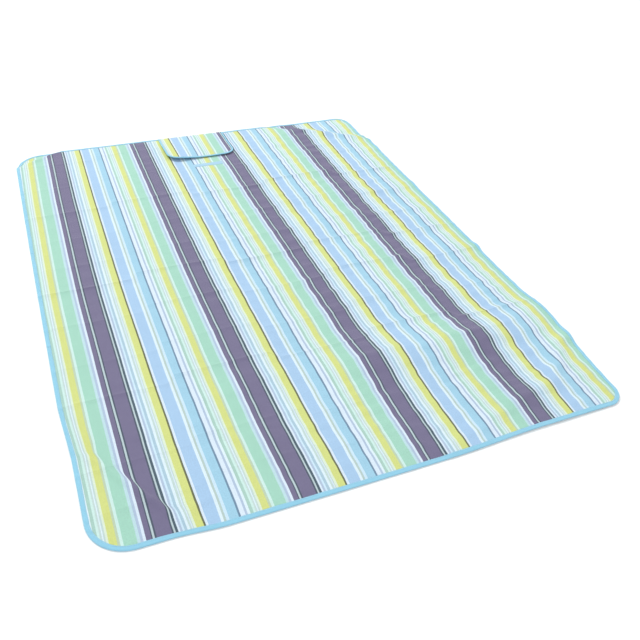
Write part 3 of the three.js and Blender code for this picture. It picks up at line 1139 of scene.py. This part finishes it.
def flap_middle(t, s):
    """Middle surface of the flap: t across from its centre, s down from the hinge line."""
    share = np.clip(s / FLAP_RUN, 0.0, 1.1)
    side = 0.5 + 0.5 * np.clip(t / FLAP_HALF_WIDTH, -1.0, 1.0)
    lift = FLAP_LIFT_LEFT + (FLAP_LIFT_RIGHT - FLAP_LIFT_LEFT) * side
    lift = lift + FLAP_WAVE * np.cos(2.0 * math.pi * side) - 1.0 * MM
    rise = lift * share**1.35
    wave = 0.5 * MM * ripples(t, s, 51, 12, 0.05, 0.16, 0.3, 2.0) * smooth(s / 0.04)
    x = FLAP_CENTRE + t - 3.0 * MM * share * (1.0 - (t / FLAP_HALF_WIDTH) ** 2)
    y = HINGE_Y + 2.0 * MM - s + rise * share * 0.10
    return np.stack([x, y, FLAP_BASE_Z + rise + wave], axis=-1)


def flap_point(t, s, height):
    """A point at a height over the flap's middle surface."""
    step = 0.5 * MM
    across = flap_middle(t + step, s) - flap_middle(t - step, s)
    down = flap_middle(t, s + step) - flap_middle(t, s - step)
    normal = np.cross(down, across)
    normal /= np.linalg.norm(normal, axis=-1, keepdims=True)
    return flap_middle(t, s) + normal * np.reshape(height, np.shape(t) + (1,))


def flap_edge_distance(t, s):
    """Distance in from the flap's bound edges; its hinge end isn't one."""
    return distance_in(FLAP_HALF_WIDTH - np.abs(t), FLAP_RUN - s, FLAP_CORNER)


def flap_half_stack(t, s):
    """Half thickness of the flap's layers: pinched in the seam, puffed inside it."""
    puff = smooth(flap_edge_distance(t, s) / FLAP_PUFF_WIDTH)
    return FLAP_EDGE_HALF + FLAP_PUFF * puff * smooth((s - FLAP_START) / 0.02)


def flap_grid(inset, start):
    """Grid of the flap, rows from the hinge to the free end."""
    end = FLAP_RUN - inset
    radius = FLAP_CORNER - inset
    rows = set(np.round(np.linspace(start, end, FLAP_ROWS), 6))
    rows |= set(np.round(quarter_rows(end, radius), 6))
    s = np.array(sorted(rows))
    s = s[np.concatenate([[True], np.diff(s) > 0.3 * MM])]
    over = np.clip(s - (end - radius), 0.0, radius)
    half = FLAP_HALF_WIDTH - FLAP_CORNER + np.sqrt(np.maximum(radius**2 - over**2, 0.0))
    share = np.linspace(-1.0, 1.0, FLAP_COLUMNS)
    return half[:, None] * share[None, :], np.repeat(s[:, None], len(share), axis=1)


def build_flap_layer(name, node, material, inset, start, upper, lower):
    """A layer of the flap between two faces, each given as its side of the middle and an offset."""
    t, s = flap_grid(inset, start)
    half = flap_half_stack(t, s)
    top, bottom = (flap_point(t, s, side * half + offset) for side, offset in (upper, lower))
    flat = np.stack([FLAP_CENTRE + t, HALF_LENGTH - s], axis=-1)
    obj = shell(name, top, bottom, flat, material)
    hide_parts(node)
    return obj


def flap_run():
    """Round the flap's bound edges, from its left hinge corner to its right one."""
    radius, half, step = FLAP_CORNER, FLAP_HALF_WIDTH, FLAP_OUTLINE_STEP
    side = np.linspace(-1.0 * MM, FLAP_RUN - radius, round((FLAP_RUN - radius) / step))
    end = np.linspace(radius - half, half - radius, round(2 * half / step))
    left = [(-half, s, 1.0, 0.0) for s in side]
    arc = []
    for a in np.linspace(0.0, 0.5 * math.pi, 20)[1:]:
        t, s = radius - half - radius * math.cos(a), FLAP_RUN - radius + radius * math.sin(a)
        arc.append((t, s, math.cos(a), -math.sin(a)))
    bottom = [(t, FLAP_RUN, 0.0, -1.0) for t in end[1:]]
    right = [(-t, s, -nt, ns) for t, s, nt, ns in left[::-1]]
    right_arc = [(-t, s, -nt, ns) for t, s, nt, ns in arc[:-1][::-1]]
    run = np.array(left + arc + bottom + right_arc + right)
    return along_run(run[:, :2], run[:, 2:])


def flap_tape_profile():
    """Closed cross section of the flap's tape: the same on both faces, folded round the edge."""
    width, face = FLAP_TAPE_WIDTH, TAPE_THICKNESS + FLAP_TAPE_GAP
    upper = [(width * s, 1, face + 0.2 * MM * math.sin(math.pi * s)) for s in (1.0, *TAPE_SHARES)]
    bulge = []
    for a in np.radians((55, 28, 0, -28, -55)):
        bulge.append((1.0 * MM - 1.2 * MM * math.cos(a), math.sin(a), face * math.sin(a)))
    lower = [(d, -1, -h) for d, _, h in upper[::-1]]
    inner_low = [(width * s, -1, -FLAP_TAPE_GAP) for s in (0.98, 0.5, 0.15)]
    inner_high = [(d, 1, FLAP_TAPE_GAP) for d, _, _ in inner_low[::-1]]
    return upper + bulge + lower + inner_low + inner_high


def flap_tape_point(t, s, distance, share, height):
    puffed = (flap_half_stack(t, s) - FLAP_EDGE_HALF) * (distance > 0)
    return flap_point(t, s, share * (FLAP_EDGE_HALF + puffed) + height)


def build_flap_binding():
    run = flap_run()
    profile = flap_tape_profile()
    travel = [k * 1.1 * MM for k in range(len(profile))]
    wobble = edge_wobble(run[2], 0.3 * MM, 61, 10, 0.03, 0.12)
    part = tape_tube(run, FLAP_TAPE_WIDTH, profile, travel, wobble, flap_tape_point)
    obj = tubes("flap_binding_tape", [part], BINDING_TAPE)
    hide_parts("flap_binding")
    return obj


def flap_thread_point(t, s, face):
    return flap_point(t, s, face * (flap_half_stack(t, s) + TAPE_THICKNESS + FLAP_THREAD_LIFT))


def flap_upward(t, s, face):
    up = flap_point(t, s, 0 * t + face * MM) - flap_point(t, s, 0 * t)
    return up / np.linalg.norm(up, axis=1, keepdims=True)


def build_flap_hem():
    """Turned-in seam allowance at the base of the flap: a soft flattened roll under its hinge end."""
    reach = FLAP_HALF_WIDTH - HEM_END_GAP
    t = np.linspace(-reach, reach, HEM_STATIONS)[:, None]
    turn = 2.0 * math.pi * np.arange(HEM_SIDES) / HEM_SIDES
    fat = 1.0 + edge_wobble(t, 0.06, 71, 10, 0.015, 0.06)
    low = FULL_STACK + HEM_CLEARANCE
    half_height = 0.5 * (FLAP_BASE_Z - FLAP_EDGE_HALF - low)
    x, round_hem = np.broadcast_arrays(FLAP_CENTRE + t, turn * HEM_MAP_RADIUS)
    y = HINGE_Y - 1.0 * MM + HEM_HALF_DEPTH * fat * np.cos(turn)
    z = low + half_height + half_height * 0.96 * fat * np.sin(turn)
    sections = np.stack([x, y, z], axis=-1)
    obj = tubes("flap_hem_roll", [(sections, np.stack([x, round_hem], axis=-1))], FLAP_CLOTH)
    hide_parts("flap_hem")
    return obj


flap_cover = build_flap_layer(
    "flap_cover_cloth", "flap_cover", FLAP_CLOTH,
    EDGE_INSET, FLAP_START, (1, 0.0), (1, -0.6 * MM),
)
flap_lining = build_flap_layer(
    "flap_lining_cloth", "flap_lining", LINING_CLOTH,
    EDGE_INSET, FLAP_START, (-1, 0.5 * MM), (-1, 0.0),
)
flap_core = build_flap_layer(
    "flap_core_foam", "flap_core", FOAM,
    3 * MM, 1.0 * MM, (1, -0.75 * MM), (-1, 0.7 * MM),
)
flap_binding = build_flap_binding()
flap_seam = FLAP_TAPE_WIDTH - FLAP_SEAM_INSET
flap_stitches = sew("flap_stitches", [flap_run()], flap_seam, flap_thread_point, flap_upward)
flap_hem = build_flap_hem()
# The flap is sewn to the far panel; its pieces have their placement baked into their meshes.
for piece in (flap_cover, flap_lining, flap_core, flap_binding, flap_stitches, flap_hem):
    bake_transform(piece)

# ---------------------------------------------------------------- hook-and-loop closure

LOOP_LENGTH = LOOP_HIGH.x - LOOP_LOW.x
LOOP_CENTRE = (LOOP_LOW + LOOP_HIGH) / 2
HOOK_LENGTH = HOOK_HIGH.x - HOOK_LOW.x
HOOK_CENTRE_S = HINGE_Y - (HOOK_LOW.y + HOOK_HIGH.y) / 2
STRIP_WIDTH = LOOP_HIGH.y - LOOP_LOW.y
STRIP_THICKNESS = LOOP_HIGH.z - LOOP_LOW.z
STRIP_COLUMNS = 161
STRIP_ROWS = 41
STRIP_GAP = 0.1 * MM
STRIP_BORDER = 2.4 * MM
STRIP_SEAM_INSET = 1.6 * MM
STRIP_THREAD_LIFT = 0.85 * MM


def on_cover(p, q, height):
    return lay(p, q, stack(edge_distance(p, q)) + STRIP_GAP + height)


def under_flap(t, s, height):
    return flap_point(t, s, -flap_half_stack(t, s) - STRIP_GAP - height)


def build_strip(name, centre, length, surface, seed):
    """A strip of touch fastener with a fuzzy, uneven face and a flattened, frayed border."""
    rows, columns = STRIP_ROWS, STRIP_COLUMNS
    a = np.linspace(-0.5, 0.5, columns)[None, :] * length + np.zeros((rows, 1))
    b = np.linspace(0.5, -0.5, rows)[:, None] * STRIP_WIDTH + np.zeros((1, columns))
    edge = np.minimum(0.5 * length - np.abs(a), 0.5 * STRIP_WIDTH - np.abs(b))
    rng = np.random.default_rng(seed)
    pile = smooth(edge / STRIP_BORDER)
    fluff = rng.random((rows, columns)) * 0.45 * MM * pile
    high = STRIP_THICKNESS * (0.45 + 0.55 * pile) + fluff
    fray = 0.25 * MM * rng.standard_normal((rows, columns)) * (edge < 0.2 * MM)
    p, q = centre[0] + a + fray, centre[1] + b + fray
    return shell(name, surface(p, q, high), surface(p, q, 0.0 * high), np.stack([a, b], axis=-1), CLOSURE)


def box_stitch(name, centre, length, surface, up):
    """Stitches round a strip, a little in from its edge."""
    half = np.array([0.5 * length, 0.5 * STRIP_WIDTH]) - STRIP_SEAM_INSET
    corners = np.array([(-1, -1), (1, -1), (1, 1), (-1, 1)]) * half
    starts, ends = [], []
    for a, b in zip(corners, np.roll(corners, -1, axis=0)):
        size = math.hypot(*(b - a))
        count = max(1, round(size / STITCH_PITCH))
        middle = (np.arange(count)[:, None] + 0.5) / count
        for way, row in ((-0.5, starts), (0.5, ends)):
            row.append(a + (middle + way * STITCH_LENGTH / size) * (b - a))
    places = [np.concatenate(row) + centre[:2] for row in (starts, ends)]
    starts, ends = (surface(at[:, 0], at[:, 1], np.full(len(at), STRIP_THREAD_LIFT)) for at in places)
    return stitch_mesh(name, starts, ends, np.repeat([up], len(starts), axis=0))


def fit_closure(node, body, centre, length, surface, up, seed):
    """Half of the closure, sewn on: its strip and its stitches."""
    strip = build_strip(node + "_strip", centre, length, surface, seed)
    seam = box_stitch(node + "_stitches", centre, length, surface, up)
    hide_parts(node)
    for piece in (strip, seam):
        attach(piece, body)


fit_closure("loop_tape", "far_panel", LOOP_CENTRE, LOOP_LENGTH, on_cover, (0.0, 0.0, 1.0), 81)
fit_closure("hook_tape", "flap", (0.0, HOOK_CENTRE_S), HOOK_LENGTH, under_flap, (0.0, 0.0, -1.0), 82)

# ---------------------------------------------------------------- floor, light and camera

FLOOR_HALF = 12.0
FLOOR_DROP = 0.3 * MM
WORLD_STRENGTH = 0.714
# Name, place, point it faces, diameter and power of each lamp.
LAMPS = (
    ("key_light", (-2.0, 5.6, 7.0), (0.0, 0.0, 0.0), 3.2, 482.0),
    ("fill_light", (0.6, -5.5, 3.0), (0.0, -0.5, 0.0), 3.0, 58.0),
    ("window_light", (2.0, -0.3, 0.7), (0.75, -0.3, 0.0), 0.8, 0.5),
)

CAMERA_AZIMUTH = -24.588
CAMERA_ELEVATION = 39.119
CAMERA_DISTANCE = 2.2369
CAMERA_TARGET = Vector((0.0428, -0.3777, 0.0))
CAMERA_ROLL = 3.851
CAMERA_LENS = 40.5
SENSOR = 36.0


def build_floor():
    mesh = bpy.data.meshes.new("floor")
    corners = [(x * FLOOR_HALF, y * FLOOR_HALF, -FLOOR_DROP) for x, y in ((-1, -1), (1, -1), (1, 1), (-1, 1))]
    mesh.from_pydata(corners, [], [(0, 1, 2, 3)])
    g = Graph("pale_floor")
    g.feed(g.shader["Base Color"], (0.96, 0.96, 0.96, 1.0))
    g.feed(g.shader["Roughness"], 0.9)
    g.feed(g.shader["Specular IOR Level"], 0.1)
    mesh.materials.append(g.material)
    show("floor", mesh)


def build_lights():
    world = bpy.data.worlds.new("studio")
    world.use_nodes = True
    background = world.node_tree.nodes["Background"].inputs
    background["Color"].default_value = (1.0, 1.0, 1.0, 1.0)
    background["Strength"].default_value = WORLD_STRENGTH
    bpy.context.scene.world = world
    for name, location, target, size, power in LAMPS:
        data = bpy.data.lights.new(name, "AREA")
        data.shape = "DISK"
        data.size = size
        data.energy = power
        lamp = show(name, data)
        lamp.location = location
        lamp.rotation_mode = "QUATERNION"
        lamp.rotation_quaternion = (Vector(target) - Vector(location)).to_track_quat("-Z", "Y")


def build_camera():
    azimuth, elevation = math.radians(CAMERA_AZIMUTH), math.radians(CAMERA_ELEVATION)
    back = Vector((
        math.sin(azimuth) * math.cos(elevation),
        -math.cos(azimuth) * math.cos(elevation),
        math.sin(elevation),
    ))
    level = Vector((0, 0, 1)).cross(back).normalized()
    upright = back.cross(level)
    roll = math.radians(CAMERA_ROLL)
    right = math.cos(roll) * level + math.sin(roll) * upright
    up = -math.sin(roll) * level + math.cos(roll) * upright
    data = bpy.data.cameras.new("camera")
    data.sensor_width = SENSOR
    data.lens = CAMERA_LENS
    camera = show("camera", data)
    camera.rotation_mode = "QUATERNION"
    camera.rotation_quaternion = Matrix((right, up, back)).transposed().to_quaternion()
    camera.location = CAMERA_TARGET + back * CAMERA_DISTANCE
    bpy.context.scene.camera = camera


build_floor()
build_lights()
build_camera()
bpy.context.scene.view_settings.view_transform = "Standard"
